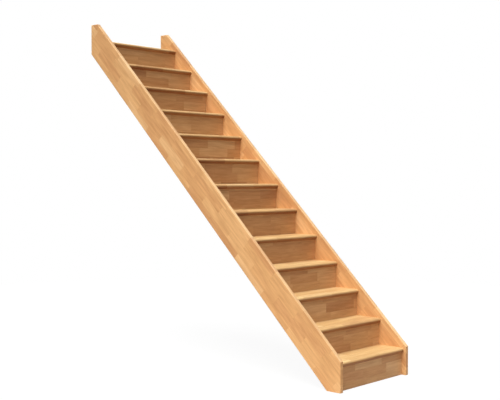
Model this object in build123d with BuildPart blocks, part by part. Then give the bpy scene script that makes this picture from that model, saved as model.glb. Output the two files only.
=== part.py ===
"""A straight flight of wooden stairs: treads and risers housed between two closed strings.

Millimetres. +X is to the right of a person going up, +Y is the way they climb, +Z is up.
The origin is in the middle of the top tread's back edge, which bears on the landing.
"""

import os

from build123d import *

# The flight: floor to landing in equal rises, one tread fewer than there are rises.
storey_height = 2750.0
tread_count = 13
going = 199.0
clear_width = 750.0

# The boards.
stringer_thickness = 32.0
tread_thickness = 38.0
riser_thickness = 18.0
nosing = 17.0  # how far a tread stands in front of the riser under it

# The strings' outline.
margin_above_nosing = 30.0  # plumb, from a tread's top at its front up to the rake edge
margin_below_riser = 23.0  # plumb, from a riser's lower back corner down to the soffit edge
margin_before_nosing = 19.0  # level, from the first tread's front to the foot's plumb edge
head_above_top_tread = 149.0
arris_radius = 4.0

# The joints between the boards.
housing_depth = 12.0
groove_depth = 8.0
fit_gap = 0.2

rise = storey_height / (tread_count + 1)
slope = rise / going
flight_run = tread_count * going - nosing
board_length = clear_width + 2 * housing_depth
inner_face = clear_width / 2


def riser_front(number):
    """Y of a riser's front face, and of the back edge of the tread below it."""
    return (number - 1) * going - flight_run


def tread_top(number):
    """Z of a tread's top; number 0 gives the floor."""
    return (number - tread_count) * rise + tread_thickness / 2


def tread_back(number):
    """Y of a tread's back edge; the last one is flush with the strings' plumb cuts."""
    return min(riser_front(number + 1), 0.0)


def tread_side(number, gap=0.0, overrun=0.0):
    """Draws a tread from the side, grown by gap, in the sketch that is open."""
    nose_radius = tread_thickness / 2
    nose_centre = riser_front(number) - nosing + nose_radius
    back = tread_back(number) + overrun
    middle = tread_top(number) - nose_radius
    with Locations((nose_centre, middle)):
        Circle(nose_radius + gap)
    with Locations(((nose_centre + back) / 2, middle)):
        Rectangle(back - nose_centre, tread_thickness + 2 * gap)


def riser_side(number, gap=0.0, overrun=0.0):
    """Draws a riser from the side, grown by gap, in the sketch that is open."""
    top = tread_top(number) - tread_thickness + groove_depth
    bottom = tread_top(number - 1)
    if number > 1:
        bottom -= tread_thickness
    bottom -= overrun
    with Locations((riser_front(number) + riser_thickness / 2, (bottom + top) / 2)):
        Rectangle(riser_thickness + 2 * gap, top - bottom + 2 * gap)


def rake_height(y):
    """Z of the strings' upper edge at y."""
    nosing_front = riser_front(tread_count) - nosing
    return tread_top(tread_count) + margin_above_nosing + slope * (y - nosing_front)


def soffit_height(y):
    """Z of the strings' lower edge at y, under the lower back corner of every riser."""
    riser_back = riser_front(tread_count) + riser_thickness
    riser_foot = tread_top(tread_count - 1) - tread_thickness
    return riser_foot - margin_below_riser + slope * (y - riser_back)


# The left string: a raking board, plumb at both ends and level at its head and foot.
floor = tread_top(0)
foot_front = riser_front(1) - nosing - margin_before_nosing
foot_back = (floor - soffit_height(0.0)) / slope
head_top = tread_top(tread_count) + head_above_top_tread
head_front = (head_top - rake_height(0.0)) / slope

with BuildPart() as stringer_left:
    with BuildSketch(Plane.YZ.offset(-inner_face - stringer_thickness)):
        with BuildLine():
            Polyline(
                (foot_front, floor),
                (foot_back, floor),
                (0.0, soffit_height(0.0)),
                (0.0, head_top),
                (head_front, head_top),
                (foot_front, rake_height(foot_front)),
                close=True,
            )
        make_face()
    extrude(amount=stringer_thickness)
    # The cut that stands on the floor stays sharp; the edges round both faces are eased.
    floor_edges = stringer_left.faces().sort_by(Axis.Z)[0].edges()
    long_edges = stringer_left.edges().filter_by(Axis.X, reverse=True)
    fillet([edge for edge in long_edges if edge not in floor_edges], arris_radius)
    # One stopped housing takes every tread and riser, stepping up the board.
    with BuildSketch(Plane.YZ.offset(-inner_face - housing_depth)):
        for number in range(1, tread_count + 1):
            at_head = number == tread_count
            at_floor = number == 1
            tread_side(number, fit_gap, overrun=stringer_thickness if at_head else 0.0)
            riser_side(number, fit_gap, overrun=stringer_thickness if at_floor else 0.0)
    extrude(amount=housing_depth, mode=Mode.SUBTRACT)

with BuildPart() as stringer_right:
    mirror(stringer_left.part, about=Plane.YZ)

pieces = {"stringer_left": stringer_left, "stringer_right": stringer_right}

# The treads: a full half-round nosing, and a groove underneath for the riser's top edge.
for number in range(1, tread_count + 1):
    with BuildPart() as tread:
        with BuildSketch(Plane.YZ):
            tread_side(number)
        extrude(amount=board_length / 2, both=True)
        with BuildSketch(Plane.YZ):
            groove_middle = riser_front(number) + riser_thickness / 2
            with Locations((groove_middle, tread_top(number) - tread_thickness)):
                Rectangle(riser_thickness + 2 * fit_gap, 2 * groove_depth)
        extrude(amount=board_length / 2, both=True, mode=Mode.SUBTRACT)
    pieces[f"tread_{number:02d}"] = tread

# The risers: each stands behind the tread below it and in the groove of the tread above.
for number in range(1, tread_count + 1):
    with BuildPart() as riser:
        with BuildSketch(Plane.YZ):
            riser_side(number)
        extrude(amount=board_length / 2, both=True)
    pieces[f"riser_{number:02d}"] = riser

os.makedirs("parts", exist_ok=True)
for name, piece in pieces.items():
    piece.part.label = name
    export_step(piece.part, f"parts/{name}.step")
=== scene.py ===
"""The finish, light and camera of a straight flight of laminated beech stairs.

Metres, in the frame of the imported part: +X to the right of a person going up, +Y the way
they climb, +Z up, with the origin in the middle of the top tread's back edge.
"""

import math

import bmesh
import bpy
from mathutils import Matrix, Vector


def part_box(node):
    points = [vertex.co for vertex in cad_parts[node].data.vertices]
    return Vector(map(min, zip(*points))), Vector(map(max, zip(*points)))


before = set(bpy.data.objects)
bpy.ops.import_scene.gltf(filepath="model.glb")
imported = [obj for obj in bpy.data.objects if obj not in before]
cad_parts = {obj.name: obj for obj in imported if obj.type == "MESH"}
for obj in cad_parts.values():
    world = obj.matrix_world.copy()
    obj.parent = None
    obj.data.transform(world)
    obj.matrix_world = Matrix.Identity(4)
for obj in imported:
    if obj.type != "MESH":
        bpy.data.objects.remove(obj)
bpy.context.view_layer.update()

# The flight's own sizes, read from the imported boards.
tread_count = sum(name.startswith("tread_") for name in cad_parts)
first_low, first_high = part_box("tread_01")
last_low, last_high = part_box(f"tread_{tread_count:02d}")
first_riser_low, first_riser_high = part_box("riser_01")
second_riser_low, second_riser_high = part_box("riser_02")
steps_between = tread_count - 1
rise = (last_high.z - first_high.z) / steps_between
going = (last_low.y - first_low.y) / steps_between
pitch = math.atan2(rise, going)
floor_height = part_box("stringer_left")[0].z

# The laminated boards: staves glued edge to edge, each made of blocks jointed end to end.
stave_width = 0.0672
string_block = 0.340
tread_block = 0.315
riser_block = 0.315
block_randomness = 0.3  # 0 would make every block of a board equally long
row_of_blocks = 500.0  # a stave is cut from anywhere in a row of this many blocks

# Where the staves are counted from: the strings' soffit edge, and the foot of the lowest riser.
soffit_below_riser = 0.023  # plumb, from a riser's lower back corner to the soffit edge
soffit_z = second_riser_low.z - soffit_below_riser
soffit_across = soffit_z * math.cos(pitch) - second_riser_high.y * math.sin(pitch)
cut_from_first_stave = 0.0135  # sawn off along the soffit edge
first_riser_stave = 0.047  # the width left of the lowest riser's first stave

# Whole numbers that each kind of board's own numbers start from. Others would only lay the
# blocks out in another way.
string_lot = 320.0
tread_lot = 1080.0
riser_lot = 2060.0
numbers_per_board = 17.0  # more than a board has staves, so that no two staves share one

# The tints that the blocks of one board come in, from straw to brown.
block_tints = (
    (0.00, (0.73, 0.46, 0.215)),
    (0.20, (0.69, 0.415, 0.182)),
    (0.50, (0.65, 0.375, 0.158)),
    (0.82, (0.61, 0.335, 0.142)),
    (1.00, (0.53, 0.285, 0.124)),
)

# What the tints' red, green and blue are multiplied by on each kind of board.
string_tone = (1.10, 1.05, 1.06)
tread_tone = (0.92, 0.99, 1.01)
riser_tone = (0.825, 0.785, 0.835)

# Faces whose tone holds painted light or shade: the way they look, and how far a face looks
# that way, as a cosine, where their tone starts and where it is full.
# Painted sheen: the strings' rake edges, turned up and forward, are toned paler and bluer to
# stand for the sky's sheen on them.
rake_painted_sheen = {
    "way": (0.0, -math.sin(pitch), math.cos(pitch)),
    "tone": (1.05, 1.13, 1.32),
    "starts": 0.6,
    "full": 0.9,
}
# Painted shade: tread faces turning downwards, the nosing's front and lower round and the
# undersides, are toned darker and browner to stand for the shade under each nosing.
nosing_underside_painted_shade = {
    "way": (0.0, 0.0, -1.0),
    "tone": (0.50, 0.365, 0.31),
    "starts": -0.75,
    "full": 0.25,
}

# The wood's figure. Cells are to the metre: along the grain, across the staves and through.
broad_bands = {"cells": (5.0, 45.0, 45.0), "detail": 2.0, "roughness": 0.5}
fine_streaks = {"cells": (9.0, 240.0, 240.0), "detail": 4.0, "roughness": 0.6}
short_flecks = {"cells": (160.0, 1500.0, 1500.0), "detail": 1.0, "roughness": 0.5}
figure_waver = 0.4  # how far the noise is bent out of straight lines
log_size = (9.0, 7.0, 5.0)  # each block is cut from a place of its own in a log this large
usual_noise = (0.3, 0.7)  # the range that most of the noise lies in
fleck_noise = (0.64, 0.76)  # flecks grow from none to full over this range

# What the tint is multiplied by: from the dark to the light of the bands and streaks, in a
# fleck, on a glue line and on end grain.
band_shade = (0.87, 1.13)
streak_shade = (0.91, 1.07)
fleck_shade = 0.80
glue_shade = 0.82
end_grain_shade = 0.80
shade_powers = (0.8, 1.1, 1.3)  # for red, green and blue, so that darker wood is redder too

# The glue lines are full up to the first distance from a joint and gone at the second. A
# face is end grain as it turns from the first to the second cosine to the grain.
glue_line = (0.0002, 0.0007)
end_grain_turn = (0.45, 0.75)

# The satin lacquer, and the relief under it. The wood stands 1 above the glue lines, the
# streaks and flecks add to that or take from it, and the depth turns it all into metres.
lacquer_roughness = (0.46, 0.36)  # on the darkest streaks and on the palest
lacquer_specular = 0.1
streak_relief = 0.4
fleck_relief = -0.2
relief_strength = 0.35
relief_depth = 0.0004

# The camera, at the photograph's viewing angle.
camera_place = Vector((-5.372, -6.322, -1.118))
camera_heading = math.radians(47.68)  # from +Y towards +X
camera_tilt = math.radians(-1.30)
camera_lens = 67.78
sensor_width = 36.0

# The light: soft lamps so far off that they light the whole flight alike, and a dim sky.
white = (1.0, 1.0, 1.0, 1.0)
sky_on_object = 0.03
lamps = {
    "lamp_above": {"comes_from": (-0.34, 0.06, 0.94), "strength": 2.8, "width": 30.0},
    "lamp_at_left": {"comes_from": (-0.43, -0.25, 0.87), "strength": 2.15, "width": 30.0},
    "lamp_in_front": {"comes_from": (-0.50, -0.80, 0.33), "strength": 0.5, "width": 40.0},
}

# The floor: nearly white where it is seen, and duller in the light that it throws back.
floor_radius = 6.0
floor_sides = 64
floor_to_camera = (0.95, 0.95, 0.95, 1.0)
floor_to_object = (0.58, 0.52, 0.46, 1.0)
floor_glow = 0.95  # the share of plain white in what is seen of it; the rest takes the shadow


def feed(tree, socket, value):
    """Links another node's output to an input, or sets the input to a plain value."""
    if isinstance(value, bpy.types.NodeSocket):
        tree.links.new(value, socket)
    else:
        socket.default_value = value


def add_node(tree, kind, inputs=None, **settings):
    """Adds a node to a tree, with its settings, and its inputs as values or sockets."""
    made = tree.nodes.new(kind)
    for name, value in settings.items():
        setattr(made, name, value)
    for key, value in (inputs or {}).items():
        feed(tree, made.inputs[key], value)
    return made


def maths(tree, operation, *values):
    """One Math node; gives its result."""
    inputs = dict(enumerate(values))
    return add_node(tree, "ShaderNodeMath", inputs, operation=operation).outputs[0]


def vector_maths(tree, operation, first, second):
    """One Vector Math node; gives its outputs."""
    inputs = {0: first, 1: second}
    return add_node(tree, "ShaderNodeVectorMath", inputs, operation=operation).outputs


def parts_of(tree, vector):
    """A vector's X, Y and Z."""
    return add_node(tree, "ShaderNodeSeparateXYZ", {0: vector}).outputs


def blend_colours(tree, mode, amount, first, second):
    """Mixes two colours in a blend mode; gives the mixed colour."""
    mix = add_node(tree, "ShaderNodeMix", data_type="RGBA", blend_type=mode)
    for name, value in (("Factor_Float", amount), ("A_Color", first), ("B_Color", second)):
        feed(tree, next(s for s in mix.inputs if s.identifier == name), value)
    return next(s for s in mix.outputs if s.identifier == "Result_Color")


def spread(tree, value, from_range, to_range):
    """Maps a range of values to another, with its ends held."""
    inputs = {"Value": value}
    inputs["From Min"], inputs["From Max"] = from_range
    inputs["To Min"], inputs["To Max"] = to_range
    return add_node(tree, "ShaderNodeMapRange", inputs, clamp=True).outputs["Result"]


def ramp(tree, value, stops):
    """A colour ramp; stops are pairs of a place and a colour."""
    made = add_node(tree, "ShaderNodeValToRGB", {"Fac": value})
    elements = made.color_ramp.elements
    while len(elements) < len(stops):
        elements.new(1.0)
    for element, (place, colour) in zip(elements, stops):
        element.position = place
        element.color = (*colour, 1.0)
    return made.outputs["Color"]


def figure_noise(tree, point, figure):
    """Noise whose cells are drawn out along the grain."""
    drawn = vector_maths(tree, "MULTIPLY", point, figure["cells"])[0]
    inputs = {"Vector": drawn, "Scale": 1.0, "Distortion": figure_waver}
    inputs["Detail"] = figure["detail"]
    inputs["Roughness"] = figure["roughness"]
    return add_node(tree, "ShaderNodeTexNoise", inputs).outputs["Fac"]


def glued_blocks(tree, given):
    """The block that a point is in: its chance colour, and how far its nearest joint is."""
    point = parts_of(tree, given["Point"])
    stave_place = maths(tree, "DIVIDE", point["Y"], given["Stave width"])
    stave = maths(tree, "FLOOR", stave_place)
    stave_number = maths(tree, "MULTIPLY_ADD", given["Board"], numbers_per_board, stave)
    chance = add_node(
        tree, "ShaderNodeTexWhiteNoise", {"W": stave_number}, noise_dimensions="1D"
    ).outputs["Value"]
    along = maths(tree, "DIVIDE", point["X"], given["Block length"])
    along = maths(tree, "MULTIPLY_ADD", chance, row_of_blocks, along)

    row = {"W": along, "Scale": 1.0, "Randomness": block_randomness}
    block = add_node(tree, "ShaderNodeTexVoronoi", row, voronoi_dimensions="1D")
    block_end = add_node(
        tree, "ShaderNodeTexVoronoi", row, voronoi_dimensions="1D", feature="DISTANCE_TO_EDGE"
    )
    in_stave = maths(tree, "SUBTRACT", stave_place, stave)
    to_side = maths(tree, "MINIMUM", in_stave, maths(tree, "SUBTRACT", 1.0, in_stave))
    to_side = maths(tree, "MULTIPLY", to_side, given["Stave width"])
    to_end = maths(tree, "MULTIPLY", block_end.outputs["Distance"], given["Block length"])
    return block.outputs["Color"], maths(tree, "MINIMUM", to_side, to_end)


def laminated_beech_group():
    """Colour, roughness and height of a board glued up from beech blocks.

    Point is in metres: X along the grain, Y across the staves from where they are counted
    and Z through the thickness. Board is a whole number that sets each board apart.
    """
    tree = bpy.data.node_groups.new("laminated_beech", "ShaderNodeTree")
    for name, kind in (
        ("Point", "NodeSocketVector"),
        ("Board", "NodeSocketFloat"),
        ("Stave width", "NodeSocketFloat"),
        ("Block length", "NodeSocketFloat"),
        ("End grain", "NodeSocketFloat"),
        ("Tone", "NodeSocketColor"),
    ):
        tree.interface.new_socket(name, in_out="INPUT", socket_type=kind)
    for name, kind in (
        ("Color", "NodeSocketColor"),
        ("Roughness", "NodeSocketFloat"),
        ("Height", "NodeSocketFloat"),
    ):
        tree.interface.new_socket(name, in_out="OUTPUT", socket_type=kind)
    given = tree.nodes.new("NodeGroupInput").outputs

    block_chance, to_joint = glued_blocks(tree, given)
    tint_place = add_node(tree, "ShaderNodeSeparateColor", {0: block_chance}).outputs["Red"]
    tint = ramp(tree, tint_place, block_tints)

    # The figure of each block starts somewhere else in the same log.
    log_place = vector_maths(tree, "MULTIPLY", block_chance, log_size)[0]
    log_point = vector_maths(tree, "ADD", given["Point"], log_place)[0]
    bands = figure_noise(tree, log_point, broad_bands)
    streaks = figure_noise(tree, log_point, fine_streaks)
    flecks = figure_noise(tree, log_point, short_flecks)
    clear_of_glue = spread(tree, to_joint, glue_line, (0.0, 1.0))

    shade = spread(tree, bands, usual_noise, band_shade)
    for other in (
        spread(tree, streaks, usual_noise, streak_shade),
        spread(tree, flecks, fleck_noise, (1.0, fleck_shade)),
        spread(tree, clear_of_glue, (0.0, 1.0), (glue_shade, 1.0)),
        spread(tree, given["End grain"], (0.0, 1.0), (1.0, end_grain_shade)),
    ):
        shade = maths(tree, "MULTIPLY", shade, other)
    channels = {}
    for place, power in enumerate(shade_powers):
        channels[place] = maths(tree, "POWER", shade, power)
    shade_colour = add_node(tree, "ShaderNodeCombineColor", channels).outputs[0]
    colour = blend_colours(tree, "MULTIPLY", 1.0, tint, shade_colour)

    height = maths(tree, "MULTIPLY_ADD", streaks, streak_relief, clear_of_glue)
    results = {
        "Color": blend_colours(tree, "MULTIPLY", 1.0, colour, given["Tone"]),
        "Roughness": spread(tree, streaks, usual_noise, lacquer_roughness),
        "Height": maths(tree, "MULTIPLY_ADD", flecks, fleck_relief, height),
    }
    add_node(tree, "NodeGroupOutput", results)
    return tree


laminated_beech = laminated_beech_group()


def object_place(tree):
    """The point that is coloured, in the flight's own frame."""
    return add_node(tree, "ShaderNodeTexCoord").outputs["Object"]


def board_point(tree, along, across, through):
    """A point measured along the grain, across the staves and through the board."""
    return add_node(tree, "ShaderNodeCombineXYZ", {0: along, 1: across, 2: through}).outputs[0]


def step_number(tree, place, first_place, spacing):
    """Which tread or riser a place is on, with 0 for the first."""
    past_first = maths(tree, "SUBTRACT", place, first_place)
    return maths(tree, "ROUND", maths(tree, "DIVIDE", past_first, spacing))


def string_grain(tree):
    """The strings' staves run up the pitch, counted from the soffit edge.

    Each of these three functions gives the board's point, its number and its grain's way.
    """
    inputs = {"Vector": object_place(tree), "Rotation": (-pitch, 0.0, 0.0)}
    laid_level = add_node(tree, "ShaderNodeMapping", inputs).outputs[0]
    part = parts_of(tree, laid_level)
    across = maths(tree, "SUBTRACT", part["Z"], soffit_across - cut_from_first_stave)
    on_right = maths(tree, "GREATER_THAN", part["X"], 0.0)
    board = maths(tree, "ADD", on_right, string_lot)
    grain_way = (0.0, math.cos(pitch), math.sin(pitch))
    return board_point(tree, part["Y"], across, part["X"]), board, grain_way


def tread_grain(tree):
    """A tread's staves run across the flight, counted from its nosing."""
    part = parts_of(tree, object_place(tree))
    step = step_number(tree, part["Z"], (first_low.z + first_high.z) / 2, rise)
    nosing = maths(tree, "MULTIPLY_ADD", step, going, first_low.y)
    across = maths(tree, "SUBTRACT", part["Y"], nosing)
    board = maths(tree, "ADD", step, tread_lot)
    return board_point(tree, part["X"], across, part["Z"]), board, (1.0, 0.0, 0.0)


def riser_grain(tree):
    """The risers' staves run across the flight, counted up through them all from the floor."""
    part = parts_of(tree, object_place(tree))
    step = step_number(tree, part["Y"], (first_riser_low.y + first_riser_high.y) / 2, going)
    across = maths(tree, "SUBTRACT", part["Z"], floor_height + first_riser_stave)
    board = maths(tree, "ADD", step, riser_lot)
    return board_point(tree, part["X"], across, part["Y"]), board, (1.0, 0.0, 0.0)


def lacquered_beech(name, grain, block_length, tone, painted_light_faces=None):
    """Laminated beech under a satin clear lacquer, with painted sheen or shade on some faces.
    """
    material = bpy.data.materials.new(name)
    material.use_nodes = True
    tree = material.node_tree
    tree.nodes.clear()
    point, board, grain_way = grain(tree)
    facing = add_node(tree, "ShaderNodeTexCoord").outputs["Normal"]
    along_grain = vector_maths(tree, "DOT_PRODUCT", facing, grain_way)["Value"]
    along_grain = maths(tree, "ABSOLUTE", along_grain)
    tone = (*tone, 1.0)
    if painted_light_faces:
        # Painted light: faces turned the given way take a tone that stands for sheen or shade.
        that_way = vector_maths(tree, "DOT_PRODUCT", facing, painted_light_faces["way"])["Value"]
        turned = (painted_light_faces["starts"], painted_light_faces["full"])
        share = spread(tree, that_way, turned, (0.0, 1.0))
        tone = blend_colours(tree, "MIX", share, tone, (*painted_light_faces["tone"], 1.0))
    inputs = {
        "Point": point,
        "Board": board,
        "Stave width": stave_width,
        "Block length": block_length,
        "End grain": spread(tree, along_grain, end_grain_turn, (0.0, 1.0)),
        "Tone": tone,
    }
    beech = add_node(tree, "ShaderNodeGroup", inputs, node_tree=laminated_beech).outputs
    relief = {"Height": beech["Height"], "Strength": relief_strength, "Distance": relief_depth}
    lacquer = {
        "Base Color": beech["Color"],
        "Roughness": beech["Roughness"],
        "Normal": add_node(tree, "ShaderNodeBump", relief).outputs["Normal"],
        "Specular IOR Level": lacquer_specular,
    }
    shader = add_node(tree, "ShaderNodeBsdfPrincipled", lacquer)
    add_node(tree, "ShaderNodeOutputMaterial", {"Surface": shader.outputs["BSDF"]})
    return material


def finish_boards():
    """Gives every board of the flight its lacquered beech."""
    finishes = {
        "stringer": lacquered_beech(
            "string_beech_finish", string_grain, string_block, string_tone, rake_painted_sheen
        ),
        "tread": lacquered_beech(
            "tread_beech_finish", tread_grain, tread_block, tread_tone, nosing_underside_painted_shade
        ),
        "riser": lacquered_beech("riser_beech_finish", riser_grain, riser_block, riser_tone),
    }
    for name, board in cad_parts.items():
        board.material_slots[0].material = finishes[name.split("_")[0]]


def seen_plainly(tree):
    """1 where the camera, a reflection or a clear piece shows it; 0 for its light on things."""
    ray = tree.nodes.new("ShaderNodeLightPath").outputs
    shown = maths(tree, "MAXIMUM", ray["Is Camera Ray"], ray["Is Glossy Ray"])
    return maths(tree, "MAXIMUM", shown, ray["Is Transmission Ray"])


def lay_floor():
    """A wide round floor under the foot of the flight, with its centre under the middle."""
    outline = bmesh.new()
    bmesh.ops.create_circle(outline, cap_ends=True, segments=floor_sides, radius=floor_radius)
    bmesh.ops.translate(outline, verts=outline.verts, vec=(0.0, first_low.y / 2, floor_height))
    mesh = bpy.data.meshes.new("floor")
    outline.to_mesh(mesh)
    outline.free()
    floor = bpy.data.objects.new("floor", mesh)
    bpy.context.scene.collection.objects.link(floor)

    material = bpy.data.materials.new("floor_white")
    material.use_nodes = True
    tree = material.node_tree
    tree.nodes.clear()
    seen = seen_plainly(tree)
    colour = blend_colours(tree, "MIX", seen, floor_to_object, floor_to_camera)
    matt = add_node(tree, "ShaderNodeBsdfDiffuse", {"Color": colour}).outputs[0]
    plain = add_node(tree, "ShaderNodeEmission", {"Color": white, "Strength": 1.0}).outputs[0]
    share = maths(tree, "MULTIPLY", seen, floor_glow)
    surface = add_node(tree, "ShaderNodeMixShader", {0: share, 1: matt, 2: plain}).outputs[0]
    add_node(tree, "ShaderNodeOutputMaterial", {"Surface": surface})
    mesh.materials.append(material)


def light_scene():
    """A world that is plain white where it is seen and dim on things, and the soft lamps."""
    world = bpy.data.worlds.new("white_room")
    bpy.context.scene.world = world
    world.use_nodes = True
    tree = world.node_tree
    tree.nodes.clear()
    strength = spread(tree, seen_plainly(tree), (0.0, 1.0), (sky_on_object, 1.0))
    sky = add_node(tree, "ShaderNodeBackground", {"Color": white, "Strength": strength})
    add_node(tree, "ShaderNodeOutputWorld", {"Surface": sky.outputs[0]})

    for name, values in lamps.items():
        light = bpy.data.lights.new(name, "SUN")
        light.energy = values["strength"]
        light.angle = math.radians(values["width"])
        lamp = bpy.data.objects.new(name, light)
        lamp.rotation_euler = Vector(values["comes_from"]).to_track_quat("Z", "Y").to_euler()
        bpy.context.scene.collection.objects.link(lamp)


def place_camera():
    """The photograph's camera."""
    data = bpy.data.cameras.new("camera")
    data.sensor_fit = "HORIZONTAL"
    data.sensor_width = sensor_width
    data.lens = camera_lens
    camera = bpy.data.objects.new("camera", data)
    camera.location = camera_place
    camera.rotation_euler = (math.pi / 2 + camera_tilt, 0.0, -camera_heading)
    bpy.context.scene.collection.objects.link(camera)
    bpy.context.scene.camera = camera


finish_boards()
lay_floor()
light_scene()
place_camera()
bpy.context.scene.view_settings.view_transform = "Standard"
